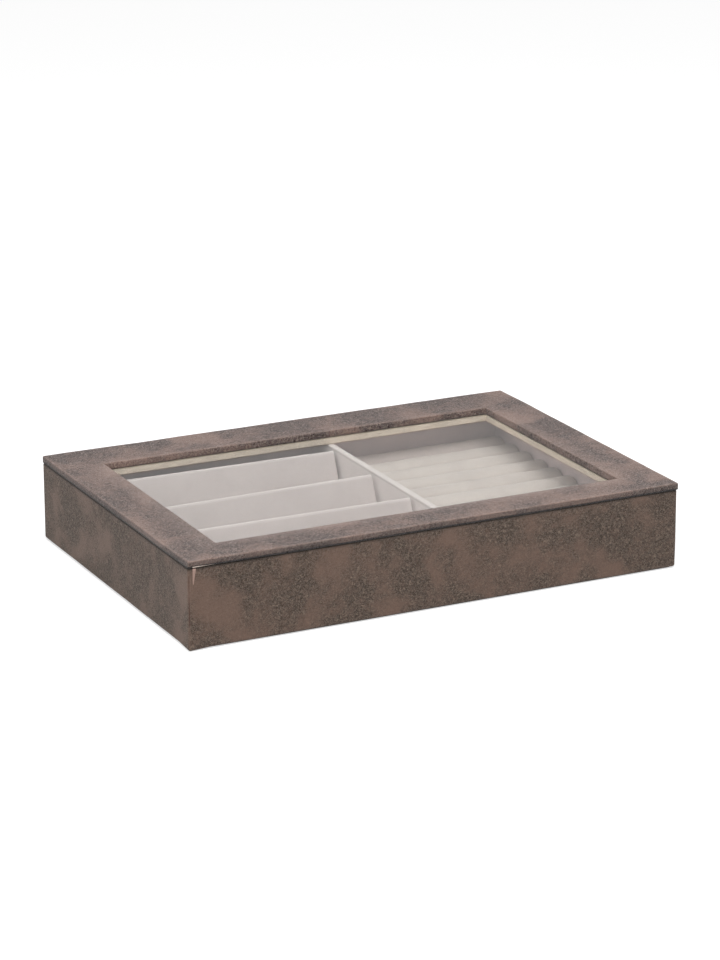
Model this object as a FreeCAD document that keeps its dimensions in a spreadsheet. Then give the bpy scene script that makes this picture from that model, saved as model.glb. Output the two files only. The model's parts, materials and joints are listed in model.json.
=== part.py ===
import FreeCAD, Part
import Sketcher
import os
import re

# Shallow jewellery box with a hinged window lid.
# Left bay: three leaning partitions. Right bay: a row of ring rolls.
# Origin: middle of the underside. +X right, +Y back, +Z up. Millimetres.

doc = FreeCAD.newDocument("JewelleryBox")

# Driving dimensions: name, value, meaning
SIZES = [
    ("case_length", 305, "outside length of the wrapped case"),
    ("case_width", 210, "outside width of the wrapped case"),
    ("case_height", 47.2, "surface to the top of the wrapped case"),
    ("corner_radius", 1.6, "upright corners of case and lid"),
    ("rim_radius", 1.1, "top outer edge of the case"),
    ("foot_radius", 0.7, "bottom outer edge of the case"),
    ("wrap_thickness", 0.7, "suede cloth with its glue"),
    ("turn_in_depth", 10, "wrap turned down inside the walls"),
    ("turn_under_width", 12, "wrap turned in under the base"),
    ("felt_thickness", 0.6, "base felt below the wrap"),
    ("felt_inset", 2, "base felt inside the outer edge"),
    ("felt_play", 0.3, "base felt to the turned-under wrap"),
    ("base_board_thickness", 3.4, "base board"),
    ("wall_thickness", 4, "wall boards"),
    ("floor_lining_thickness", 1, "velvet card on the floor"),
    ("floor_lining_play", 0.3, "floor card to the walls"),
    ("lining_thickness", 1.5, "velvet cards on the walls"),
    ("lining_play", 0.1, "wall cards to their neighbours"),
    ("lining_radius", 0.6, "top edge of the wall cards"),
    ("lid_gap", 0.7, "dark line between case and lid"),
    ("lid_thickness", 3.1, "wrapped lid, without the glass frame below it"),
    ("lid_overhang", 0.4, "lid past the case at front and sides"),
    ("lid_edge_radius", 1.5, "top outer edge of the lid"),
    ("lid_lower_radius", 0.5, "bottom outer edge of the lid"),
    ("lid_margin", 6, "wrap turned in under the lid"),
    ("window_border_side", 26.5, "case sides to the window"),
    ("window_border_front", 22.4, "case front to the window"),
    ("window_border_back", 30.3, "case back to the window"),
    ("window_edge_radius", 0.8, "top edge of the window"),
    ("spacer_thickness", 1.8, "board below the lid board, round the window"),
    ("glass_thickness", 1.5, "window glass"),
    ("glass_overlap", 5, "glass hidden under the spacer board"),
    ("glass_side_play", 0.5, "glass to its rebate"),
    ("glass_top_play", 0.1, "glass to the spacer board above it"),
    ("liner_thickness", 4, "cream frame below the glass"),
    ("liner_play", 0.7, "cream frame to the turned-in wrap"),
    ("liner_rest_gap", 0.2, "cream frame to the wall cards below"),
    ("liner_radius", 0.8, "lower edges of the cream frame"),
    ("divider_thickness", 4.2, "divider between the two bays"),
    ("divider_height", 35.3, "divider above the floor card"),
    ("divider_offset", 20.9, "divider middle, right of centre"),
    ("divider_play", 0.2, "divider to the front and back cards"),
    ("divider_radius", 0.7, "top edges of the divider"),
    ("partition_thickness", 3, "leaning partitions"),
    ("partition_length_up", 37.5, "partition along its own slope"),
    ("partition_lean", 25, "lean of the partitions, degrees"),
    ("partition_end_gap", 2.6, "partition ends to what they meet"),
    ("partition_radius", 1, "top edges of the partitions"),
    ("back_partition_foot", 52.3, "foot behind the middle line"),
    ("back_partition_turn", -1.3, "turn seen from above, degrees"),
    ("middle_partition_foot", -1.9, "foot behind the middle line"),
    ("middle_partition_turn", 0.9, "turn seen from above, degrees"),
    ("front_partition_foot", -47.7, "foot behind the middle line"),
    ("front_partition_turn", -0.9, "turn seen from above, degrees"),
    ("roll_count", 11, "ring rolls from front to back"),
    ("roll_height", 19.6, "ring roll"),
    ("roll_gap", 0.33, "ring roll to its neighbour"),
    ("roll_crown_flat", 0.2, "level strip along the crown of a roll"),
    ("roll_lower_radius", 6, "lower edges of a ring roll"),
    ("roll_end_radius", 1.4, "drawn-in ends of a ring roll"),
    ("roll_end_gap", 0.3, "ring roll ends to divider and card"),
    ("hinge_spread", 90, "hinge middle from the box middle"),
    ("hinge_length", 22, "hinge leaf and barrel"),
    ("hinge_setback", 1.8, "hinge pin behind the case"),
    ("leaf_thickness", 0.7, "hinge leaf"),
    ("leaf_margin", 0.4, "leaf in front of the screw heads"),
    ("leaf_relief", 0.2, "leaf to the other leaf's knuckles"),
    ("notch_play", 0.2, "leaf to the notch in the wrap"),
    ("knuckle_radius", 1.5, "hinge barrel"),
    ("knuckle_middle", 8, "middle knuckle"),
    ("knuckle_gap", 0.2, "between knuckles"),
    ("pin_radius", 0.6, "hinge pin"),
    ("pin_play", 0.05, "hinge pin in its knuckles, each side"),
    ("bore_overrun", 1, "bore past both ends of the barrel"),
    ("lid_open_angle", 100, "lid wide open, degrees"),
    ("lug_reach", 3, "stop lug from the pin's axis"),
    ("lug_thickness", 1, "stop lug"),
    ("lug_length", 4, "stop lug along the barrel"),
    ("lug_play", 0.05, "stop lug to the case at wide open"),
    ("screw_radius", 0.8, "hinge screw shank"),
    ("screw_head_radius", 1.5, "hinge screw head"),
    ("screw_head_depth", 0.5, "hinge screw head"),
    ("screw_spacing", 12, "between the two screws of a leaf"),
    ("case_screw_length", 8, "screw down into the back wall"),
    ("lid_screw_length", 2.2, "screw up into the lid board"),
]

sheet = doc.addObject("Spreadsheet::Sheet", "Sizes")
for row, (alias, value, meaning) in enumerate(SIZES, start=1):
    sheet.set("A%d" % row, meaning)
    sheet.set("B%d" % row, str(value))
    sheet.setAlias("B%d" % row, alias)
doc.recompute()

# Levels and planes that several pieces share, worked out from the sizes
PLACES = {
    # heights above the surface
    "base_board_bottom": "felt_thickness + wrap_thickness",
    "base_board_top": "base_board_bottom + base_board_thickness",
    "floor_top": "base_board_top + floor_lining_thickness",
    "wall_top": "case_height - wrap_thickness",
    "lid_bottom": "case_height + lid_gap",
    "lid_board_bottom": "lid_bottom + wrap_thickness",
    "lid_top": "lid_bottom + lid_thickness",
    "lid_board_top": "lid_top - wrap_thickness",
    "spacer_bottom": "lid_board_bottom - spacer_thickness",
    "glass_bottom": "spacer_bottom - glass_top_play - glass_thickness",
    "liner_bottom": "glass_bottom - liner_thickness",
    "lining_top": "liner_bottom - liner_rest_gap",
    # distances from the middle, along the length and across the width
    "case_x": "case_length / 2",
    "case_y": "case_width / 2",
    "wall_outer_x": "case_x - wrap_thickness",
    "wall_outer_y": "case_y - wrap_thickness",
    "wall_inner_x": "wall_outer_x - wall_thickness",
    "wall_inner_y": "wall_outer_y - wall_thickness",
    "turn_in_x": "wall_inner_x - wrap_thickness",
    "turn_in_y": "wall_inner_y - wrap_thickness",
    "lining_outer_x": "turn_in_x - lining_play",
    "lining_outer_y": "turn_in_y - lining_play",
    "bay_x": "lining_outer_x - lining_thickness",
    "bay_y": "lining_outer_y - lining_thickness",
    "lid_x": "case_x + lid_overhang",
    "lid_front_y": "case_y + lid_overhang",
    "lid_board_x": "lid_x - wrap_thickness",
    "lid_board_front_y": "lid_front_y - wrap_thickness",
    "window_x": "case_x - window_border_side",
    "window_front_y": "case_y - window_border_front",
    "window_back_y": "case_y - window_border_back",
    "liner_x": "turn_in_x - liner_play",
    "liner_y": "turn_in_y - liner_play",
    # ring rolls
    "roll_pitch": "2 * bay_y / roll_count",
    "roll_width": "roll_pitch - roll_gap",
    # hinges
    "pin_y": "case_y + hinge_setback",
    "pin_z": "case_height + lid_gap / 2",
    "screw_y": "wall_outer_y - wall_thickness / 2",
    "leaf_front_y": "screw_y - screw_head_radius - leaf_margin",
    "leaf_back_y": "pin_y - knuckle_radius - leaf_relief",
    "notch_front_y": "leaf_front_y - notch_play",
    "outer_knuckle": "(hinge_length - knuckle_middle) / 2 - knuckle_gap",
    "bore_radius": "pin_radius + pin_play",
}

SIZE_NAMES = {alias for alias, value, meaning in SIZES}


def formula(text):
    """Write a formula of size and place names as an expression on the sheet."""
    def full(match):
        word = match.group(0)
        if word in SIZE_NAMES:
            return "Sizes." + word
        if word in PLACES:
            return "(" + formula(PLACES[word]) + ")"
        return word
    return re.sub(r"[a-z][a-z_0-9]*", full, text)


def bind(thing, prop, text):
    thing.setExpression(prop, formula(text))


def place(thing, x="0", y="0", z="0"):
    """Tie the place of a sub-part to formulas."""
    bind(thing, "Placement.Base.x", x)
    bind(thing, "Placement.Base.y", y)
    bind(thing, "Placement.Base.z", z)


def turn(thing, axis, angle):
    """Turn a sub-part about an axis through its own place."""
    thing.Placement.Rotation = FreeCAD.Rotation(axis, 1)
    bind(thing, "Placement.Rotation.Angle", angle)


# Building blocks for bodies

# Sketches are drawn at this rough size before their dimensions take over
ROUGH = 10.0


def new_body(label):
    body = doc.addObject("PartDesign::Body", "body_" + label)
    body.Label = label
    return body


def new_sketch(body, name, plane="XY_Plane", height="0"):
    """A sketch on one of the body's own planes, lifted off it by a formula."""
    sketch = body.newObject("Sketcher::SketchObject", body.Label + "_" + name)
    base = [f for f in body.Origin.OriginFeatures if f.Role == plane][0]
    sketch.AttachmentSupport = [(base, "")]
    sketch.MapMode = "FlatFace"
    if height != "0":
        bind(sketch, "AttachmentOffset.Base.z", height)
    return sketch


def rectangle(sketch, name, left, right, front, back):
    """A rectangle given by its sides' distances from the sketch's origin.

    left and front count towards the negative side, right and back towards
    the positive side, so all four are formulas with positive results.
    """
    corners = [(-ROUGH, -ROUGH), (ROUGH, -ROUGH), (ROUGH, ROUGH), (-ROUGH, ROUGH)]
    first = sketch.GeometryCount
    for index in range(4):
        a = FreeCAD.Vector(*corners[index], 0)
        b = FreeCAD.Vector(*corners[(index + 1) % 4], 0)
        sketch.addGeometry(Part.LineSegment(a, b))
    front_line, right_line, back_line, left_line = range(first, first + 4)
    for index in range(4):
        following = first + (index + 1) % 4
        sketch.addConstraint(Sketcher.Constraint("Coincident", first + index, 2, following, 1))
    for line in (front_line, back_line):
        sketch.addConstraint(Sketcher.Constraint("Horizontal", line))
    for line in (left_line, right_line):
        sketch.addConstraint(Sketcher.Constraint("Vertical", line))
    origin = (-1, 1)
    sides = [
        ("left", "DistanceX", (left_line, 1), origin, left),
        ("right", "DistanceX", origin, (right_line, 1), right),
        ("front", "DistanceY", (front_line, 1), origin, front),
        ("back", "DistanceY", origin, (back_line, 1), back),
    ]
    for side, kind, one, other, text in sides:
        index = sketch.addConstraint(Sketcher.Constraint(kind, *one, *other, ROUGH))
        sketch.renameConstraint(index, name + "_" + side)
        bind(sketch, "Constraints." + name + "_" + side, text)


def pad(body, sketch, length, midplane=False):
    feature = body.newObject("PartDesign::Pad", sketch.Name + "_pad")
    feature.Profile = sketch
    feature.Midplane = midplane
    bind(feature, "Length", length)
    doc.recompute()
    return feature


def pocket(body, sketch, depth, upwards=False):
    """Cut a sketch's area away, downwards unless told otherwise."""
    before = body.Shape.Volume
    feature = body.newObject("PartDesign::Pocket", sketch.Name + "_cut")
    feature.Profile = sketch
    feature.Reversed = upwards
    bind(feature, "Length", depth)
    doc.recompute()
    if body.Shape.Volume > before - 1e-6:
        raise RuntimeError(feature.Name + " cuts nothing")
    return feature


def edges_like(feature, test):
    """Names of a feature's edges whose bounding boxes pass the test."""
    edges = enumerate(feature.Shape.Edges, start=1)
    return ["Edge%d" % number for number, edge in edges if test(edge.BoundBox)]


def near(a, b):
    return abs(a - b) < 1e-4


def round_edges(body, feature, name, radius, test):
    names = edges_like(feature, test)
    if not names:
        raise RuntimeError(name + " finds no edges")
    fillet = body.newObject("PartDesign::Fillet", body.Label + "_" + name)
    fillet.Base = (feature, names)
    bind(fillet, "Radius", radius)
    doc.recompute()
    return fillet


def is_upright(box):
    return near(box.XLength, 0) and near(box.YLength, 0) and box.ZLength > 0


def is_level_at(height):
    return lambda box: near(box.ZMin, height) and near(box.ZMax, height)


def outer_test(shape):
    """A test for edges that lie on the outside faces of an upright shape."""
    around = shape.BoundBox

    def on_outside(box):
        sides = [
            near(box.XMin, around.XMin), near(box.XMax, around.XMax),
            near(box.YMin, around.YMin), near(box.YMax, around.YMax),
        ]
        return any(sides)
    return on_outside


def plate(label, x_size, y_size, z_size, x="0", y="0", z="0"):
    """A rectangular plate, centred on its place and standing on it."""
    body = new_body(label)
    sketch = new_sketch(body, "outline")
    half_x = "(" + x_size + ") / 2"
    half_y = "(" + y_size + ") / 2"
    rectangle(sketch, "edge", half_x, half_x, half_y, half_y)
    feature = pad(body, sketch, z_size)
    place(body, x, y, z)
    doc.recompute()
    return body, feature


# Case boards

def case_boards():
    plate("base_board", "2 * wall_outer_x", "2 * wall_outer_y", "base_board_thickness",
          z="base_board_bottom")
    height = "wall_top - base_board_top"
    wall_y = "wall_outer_y - wall_thickness / 2"
    wall_x = "wall_outer_x - wall_thickness / 2"
    plate("front_wall", "2 * wall_outer_x", "wall_thickness", height,
          y="-(" + wall_y + ")", z="base_board_top")
    back, feature = plate("back_wall", "2 * wall_outer_x", "wall_thickness", height,
                          y=wall_y, z="base_board_top")
    screw_holes(back, height, "case_screw_length", upwards=False, y="0")
    for label, sign in (("left_wall", "-"), ("right_wall", "")):
        plate(label, "wall_thickness", "2 * wall_inner_y", height,
              x=sign + "(" + wall_x + ")", z="base_board_top")


def screw_holes(body, height, depth, upwards, y):
    """Four round holes for the hinge screws, from a level of the body."""
    sketch = new_sketch(body, "screw_holes", height=height)
    number = 0
    for hinge_side in ("-", "+"):
        for screw_side in ("-", "+"):
            number += 1
            name = "hole_%d" % number
            sign = -1 if hinge_side == "-" else 1
            index = sketch.addGeometry(
                Part.Circle(FreeCAD.Vector(sign * ROUGH * number, 0, 0),
                            FreeCAD.Vector(0, 0, 1), 1))
            outer = "+" if screw_side == hinge_side else "-"
            across = "hinge_spread " + outer + " screw_spacing / 2"
            pair = (index, 3, -1, 1) if sign < 0 else (-1, 1, index, 3)
            added = sketch.addConstraint(Sketcher.Constraint("DistanceX", *pair, ROUGH))
            sketch.renameConstraint(added, name + "_across")
            bind(sketch, "Constraints." + name + "_across", across)
            if y == "0":
                sketch.addConstraint(Sketcher.Constraint("PointOnObject", index, 3, -1))
            else:
                pair = (-1, 1, index, 3)
                added = sketch.addConstraint(Sketcher.Constraint("DistanceY", *pair, ROUGH))
                sketch.renameConstraint(added, name + "_back")
                bind(sketch, "Constraints." + name + "_back", y)
            added = sketch.addConstraint(Sketcher.Constraint("Radius", index, 1))
            sketch.renameConstraint(added, name + "_radius")
            bind(sketch, "Constraints." + name + "_radius", "screw_radius")
    pocket(body, sketch, depth, upwards)


# Suede wrap of the case: outside skin, top, turned-in and turned-under hems

def hinge_notches(body, height, depth, upwards):
    """Room for the hinge leaves in a wrap, open to the back."""
    sketch = new_sketch(body, "hinge_notches", height=height)
    half = "(hinge_length / 2 + notch_play)"
    for name, sign in (("left", -1), ("right", 1)):
        near_x = "hinge_spread - " + half
        far_x = "hinge_spread + " + half
        first = sketch.GeometryCount
        low, high = (-3 * ROUGH, -ROUGH) if sign < 0 else (ROUGH, 3 * ROUGH)
        corners = [(low, ROUGH), (high, ROUGH), (high, 2 * ROUGH), (low, 2 * ROUGH)]
        for index in range(4):
            a = FreeCAD.Vector(*corners[index], 0)
            b = FreeCAD.Vector(*corners[(index + 1) % 4], 0)
            sketch.addGeometry(Part.LineSegment(a, b))
        for index in range(4):
            following = first + (index + 1) % 4
            sketch.addConstraint(Sketcher.Constraint("Coincident", first + index, 2, following, 1))
        for line in (first, first + 2):
            sketch.addConstraint(Sketcher.Constraint("Horizontal", line))
        for line in (first + 1, first + 3):
            sketch.addConstraint(Sketcher.Constraint("Vertical", line))
        left_text, right_text = (far_x, near_x) if sign < 0 else (near_x, far_x)
        for side, line, text in (("left", first + 3, left_text), ("right", first + 1, right_text)):
            pair = (line, 1, -1, 1) if sign < 0 else (-1, 1, line, 1)
            added = sketch.addConstraint(Sketcher.Constraint("DistanceX", *pair, ROUGH))
            sketch.renameConstraint(added, name + "_" + side)
            bind(sketch, "Constraints." + name + "_" + side, text)
        for side, line, text in (("front", first, "notch_front_y"), ("back", first + 2, "pin_y")):
            added = sketch.addConstraint(Sketcher.Constraint("DistanceY", -1, 1, line, 1, ROUGH))
            sketch.renameConstraint(added, name + "_" + side)
            bind(sketch, "Constraints." + name + "_" + side, text)
    pocket(body, sketch, depth, upwards)


def case_wrap():
    body = new_body("case_wrap")
    outline = new_sketch(body, "outline", height="felt_thickness")
    rectangle(outline, "outside", "case_x", "case_x", "case_y", "case_y")
    rectangle(outline, "inside", "turn_in_x", "turn_in_x", "turn_in_y", "turn_in_y")
    feature = pad(body, outline, "case_height - felt_thickness")
    outside = outer_test(feature.Shape)
    feature = round_edges(body, feature, "corners", "corner_radius",
                          lambda box: is_upright(box) and outside(box))
    rim = is_level_at(feature.Shape.BoundBox.ZMax)
    feature = round_edges(body, feature, "rim", "rim_radius",
                          lambda box: rim(box) and outside(box))
    foot = is_level_at(feature.Shape.BoundBox.ZMin)
    round_edges(body, feature, "foot", "foot_radius",
                lambda box: foot(box) and outside(box))

    boards = new_sketch(body, "boards", height="base_board_bottom")
    rectangle(boards, "outside", "wall_outer_x", "wall_outer_x", "wall_outer_y", "wall_outer_y")
    rectangle(boards, "inside", "wall_inner_x", "wall_inner_x", "wall_inner_y", "wall_inner_y")
    pocket(body, boards, "wall_top - base_board_bottom", upwards=True)

    below_hem = new_sketch(body, "below_hem", height="base_board_bottom")
    rectangle(below_hem, "edge", "wall_inner_x", "wall_inner_x", "wall_inner_y", "wall_inner_y")
    pocket(body, below_hem, "wall_top - turn_in_depth - base_board_bottom", upwards=True)

    under = new_sketch(body, "under", height="felt_thickness")
    rectangle(under, "outside", "turn_in_x", "turn_in_x", "turn_in_y", "turn_in_y")
    rectangle(under, "inside", "case_x - turn_under_width", "case_x - turn_under_width",
              "case_y - turn_under_width", "case_y - turn_under_width")
    pad(body, under, "wrap_thickness")
    hinge_notches(body, "case_height", "wrap_thickness", upwards=False)


def base_felt():
    """Felt under the base, with a raised middle that fills the wrap's opening."""
    body, feature = plate("base_felt", "case_length - 2 * felt_inset", "case_width - 2 * felt_inset",
                          "felt_thickness")
    round_edges(body, feature, "corners", "corner_radius", is_upright)
    raised = new_sketch(body, "raised", height="felt_thickness")
    x = "case_x - turn_under_width - felt_play"
    y = "case_y - turn_under_width - felt_play"
    rectangle(raised, "edge", x, x, y, y)
    pad(body, raised, "wrap_thickness")


# Velvet cards inside the case

def linings():
    plate("floor_lining", "2 * (wall_inner_x - floor_lining_play)",
          "2 * (wall_inner_y - floor_lining_play)", "floor_lining_thickness", z="base_board_top")
    height = "lining_top - floor_top"
    long_y = "lining_outer_y - lining_thickness / 2"
    short_x = "lining_outer_x - lining_thickness / 2"
    short_length = "2 * (bay_y - lining_play)"
    cards = [
        ("front_lining", "2 * lining_outer_x", "lining_thickness", "0", "-(" + long_y + ")"),
        ("back_lining", "2 * lining_outer_x", "lining_thickness", "0", long_y),
        ("left_lining", "lining_thickness", short_length, "-(" + short_x + ")", "0"),
        ("right_lining", "lining_thickness", short_length, short_x, "0"),
    ]
    for label, x_size, y_size, x, y in cards:
        body, feature = plate(label, x_size, y_size, height, x, y, "floor_top")
        top = is_level_at(feature.Shape.BoundBox.ZMax)
        along = (lambda box: box.XLength > box.YLength) if x == "0" else (
            lambda box: box.YLength > box.XLength)
        round_edges(body, feature, "top", "lining_radius",
                    lambda box: top(box) and along(box))


# Divider, partitions and ring rolls

def centre_divider():
    body, feature = plate("centre_divider", "divider_thickness", "2 * (bay_y - divider_play)",
                          "divider_height", x="divider_offset", z="floor_top")
    top = is_level_at(feature.Shape.BoundBox.ZMax)
    round_edges(body, feature, "top", "divider_radius",
                lambda box: top(box) and box.YLength > box.XLength)


def leaning_outline(sketch):
    """The end view of a partition: a rectangle leaning back on its rear foot."""
    up, across = FreeCAD.Vector(4, 9, 0), FreeCAD.Vector(-2, 1, 0)
    foot = FreeCAD.Vector(0, 0, 0)
    corners = [foot, foot + up, foot + up + across, foot + across]
    for index in range(4):
        sketch.addGeometry(Part.LineSegment(corners[index], corners[(index + 1) % 4]))
    for index in range(4):
        sketch.addConstraint(Sketcher.Constraint("Coincident", index, 2, (index + 1) % 4, 1))
    sketch.addConstraint(Sketcher.Constraint("Coincident", 0, 1, -1, 1))
    sketch.addConstraint(Sketcher.Constraint("Perpendicular", 0, 1))
    sketch.addConstraint(Sketcher.Constraint("Perpendicular", 1, 2))
    sketch.addConstraint(Sketcher.Constraint("Perpendicular", 2, 3))
    bound = [
        ("length_up", Sketcher.Constraint("Distance", 0, 10), "partition_length_up"),
        ("thickness", Sketcher.Constraint("Distance", 1, 2), "partition_thickness"),
        ("lean", Sketcher.Constraint("Angle", -2, 1, 0, 1, -0.4), "-partition_lean * 1deg"),
    ]
    for name, constraint, text in bound:
        added = sketch.addConstraint(constraint)
        sketch.renameConstraint(added, name)
        bind(sketch, "Constraints." + name, text)


def partition(label):
    """One leaning partition from the left card to the divider."""
    foot = label + "_foot"
    left_end = "-bay_x + partition_end_gap"
    right_end = "divider_offset - divider_thickness / 2 - partition_end_gap"
    body = new_body(label)
    sketch = new_sketch(body, "end", plane="YZ_Plane")
    leaning_outline(sketch)
    length = "(" + right_end + " - (" + left_end + ")) / cos(" + label + "_turn * 1deg)"
    feature = pad(body, sketch, length, midplane=True)
    high = feature.Shape.BoundBox.ZMax
    along = [e for e in feature.Shape.Edges if near(e.BoundBox.YLength, 0)]
    levels = sorted({round(e.BoundBox.ZMax, 4) for e in along if e.BoundBox.ZMax > high / 2})
    round_edges(body, feature, "top", "partition_radius",
                lambda box: box.XLength > box.YLength and round(box.ZMax, 4) in levels)
    place(body, "(" + right_end + " + (" + left_end + ")) / 2", foot, "floor_top")
    turn(body, FreeCAD.Vector(0, 0, 1), label + "_turn")
    doc.recompute()


def ring_roll(number):
    """One foam roll in velvet, numbered from the front."""
    middle_y = "(-bay_y + roll_pitch * %.1f)" % (number - 0.5)
    left_end = "divider_offset + divider_thickness / 2 + roll_end_gap"
    right_end = "bay_x - roll_end_gap"
    body, feature = plate("ring_roll_%02d" % number, right_end + " - (" + left_end + ")",
                          "roll_width", "roll_height",
                          "(" + right_end + " + " + left_end + ") / 2", middle_y, "floor_top")
    bounds = feature.Shape.BoundBox
    crown, foot = is_level_at(bounds.ZMax), is_level_at(bounds.ZMin)
    feature = round_edges(body, feature, "crown", "(roll_width - roll_crown_flat) / 2",
                          lambda box: crown(box) and box.XLength > box.YLength)
    feature = round_edges(body, feature, "lower", "roll_lower_radius",
                          lambda box: foot(box) and box.XLength > box.YLength)
    round_edges(body, feature, "ends", "roll_end_radius", lambda box: near(box.XLength, 0))


# Lid

def frame_plate(label, outer, inner, z, height):
    """A flat frame round the window; outer and inner are side, front and back distances."""
    body = new_body(label)
    sketch = new_sketch(body, "outline")
    rectangle(sketch, "outside", outer[0], *outer)
    rectangle(sketch, "inside", inner[0], *inner)
    feature = pad(body, sketch, height)
    place(body, z=z)
    doc.recompute()
    return body, feature


def round_window(margin):
    """Side, front and back distances of an opening that much wider than the window."""
    return ["%s + %s" % (side, margin) for side in ("window_x", "window_front_y", "window_back_y")]


def lid_boards():
    """Two boards, one on the other, that the wrap is folded over at the window."""
    opening = round_window("wrap_thickness")
    top, feature = frame_plate("lid_top_board", ("lid_board_x", "lid_board_front_y", "wall_outer_y"),
                               opening, "lid_board_bottom", "lid_board_top - lid_board_bottom")
    screw_holes(top, "0", "lid_screw_length - leaf_thickness", upwards=True, y="screw_y")
    frame_plate("lid_spacer_board", ("liner_x", "liner_y", "liner_y"), opening,
                "spacer_bottom", "spacer_thickness")


def lid_glass():
    plate("lid_glass", "2 * (window_x + glass_overlap)",
          "window_front_y + window_back_y + 2 * glass_overlap", "glass_thickness",
          y="(window_back_y - window_front_y) / 2", z="glass_bottom")


def lid_liner():
    """Cream frame with a rebate in its upper side that holds the glass."""
    height = "spacer_bottom - liner_bottom"
    body, feature = frame_plate("lid_liner", ("liner_x", "liner_y", "liner_y"), round_window("0"),
                                "liner_bottom", height)
    low = is_level_at(feature.Shape.BoundBox.ZMin)
    round_edges(body, feature, "lower", "liner_radius", low)
    rebate = new_sketch(body, "rebate", height=height)
    edge = round_window("glass_overlap + glass_side_play")
    rectangle(rebate, "edge", edge[0], *edge)
    pocket(body, rebate, "glass_thickness + glass_top_play")


def lid_wrap():
    body = new_body("lid_wrap")
    outline = new_sketch(body, "outline", height="lid_bottom")
    rectangle(outline, "outside", "lid_x", "lid_x", "lid_front_y", "case_y")
    rectangle(outline, "window", "window_x", "window_x", "window_front_y", "window_back_y")
    feature = pad(body, outline, "lid_thickness")
    outside = outer_test(feature.Shape)
    feature = round_edges(body, feature, "corners", "corner_radius",
                          lambda box: is_upright(box) and outside(box))
    bounds = feature.Shape.BoundBox
    top, bottom = is_level_at(bounds.ZMax), is_level_at(bounds.ZMin)
    feature = round_edges(body, feature, "rim", "lid_edge_radius",
                          lambda box: top(box) and outside(box))

    def round_the_window(box):
        gaps = (bounds.XMax - box.XMax, box.XMin - bounds.XMin,
                bounds.YMax - box.YMax, box.YMin - bounds.YMin)
        return top(box) and min(gaps) > bounds.YLength / 20

    feature = round_edges(body, feature, "window_rim", "window_edge_radius", round_the_window)
    round_edges(body, feature, "lower_rim", "lid_lower_radius",
                lambda box: bottom(box) and outside(box))

    boards = new_sketch(body, "boards", height="lid_board_bottom")
    rectangle(boards, "outside", "lid_board_x", "lid_board_x", "lid_board_front_y", "wall_outer_y")
    beyond_cloth = round_window("wrap_thickness")
    rectangle(boards, "inside", beyond_cloth[0], *beyond_cloth)
    pocket(body, boards, "lid_board_top - lid_board_bottom", upwards=True)

    under = new_sketch(body, "under", height="lid_bottom")
    rectangle(under, "edge", "case_x - lid_margin", "case_x - lid_margin",
              "case_y - lid_margin", "case_y - lid_margin")
    pocket(body, under, "wrap_thickness", upwards=True)

    hem = new_sketch(body, "window_hem", height="spacer_bottom")
    rectangle(hem, "outside", beyond_cloth[0], *beyond_cloth)
    rectangle(hem, "inside", "window_x", "window_x", "window_front_y", "window_back_y")
    pad(body, hem, "spacer_thickness")
    hinge_notches(body, "lid_bottom", "wrap_thickness", upwards=True)


# Hinges

def solid(kind, name, x="0", y="0", z="0", **measures):
    """A primitive solid with its measures and place tied to formulas."""
    thing = doc.addObject("Part::" + kind, name)
    for prop, text in measures.items():
        bind(thing, prop, text)
    place(thing, x, y, z)
    return thing


def rod(name, radius, length, x, y="pin_y", z="pin_z"):
    """A round bar along X that starts at the given place."""
    bar = solid("Cylinder", name, x, y, z, Radius=radius, Height=length)
    bar.Placement.Rotation = FreeCAD.Rotation(FreeCAD.Vector(0, 1, 0), 90)
    return bar


def joined(kind, name, things):
    group = doc.addObject("Part::" + kind, name)
    if kind == "Compound":
        group.Links = things
    else:
        group.Shapes = things
    return group


def cut(label, base, tools):
    """Cut several tools from a base, under the sub-part's own label."""
    tool = joined("MultiFuse", label + "_tools", tools)
    result = doc.addObject("Part::Cut", "cut_" + label)
    result.Base = base
    result.Tool = tool
    result.Label = label
    return result


def sink(name, x, head_level, upwards):
    """The shape of one countersunk screw, without its slot.

    head_level is the leaf face that the head is level with, and the shank
    points up or down from there.
    """
    length = "lid_screw_length" if upwards else "case_screw_length"
    shank = solid("Cylinder", name + "_shank", x, "screw_y",
                  head_level if upwards else head_level + " - " + length,
                  Radius="screw_radius", Height=length)
    wide, narrow = "screw_head_radius", "screw_radius"
    head = solid("Cone", name + "_head", x, "screw_y",
                 head_level if upwards else head_level + " - screw_head_depth",
                 Radius1=wide if upwards else narrow, Radius2=narrow if upwards else wide,
                 Height="screw_head_depth")
    return joined("MultiFuse", name, [shank, head])


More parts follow.
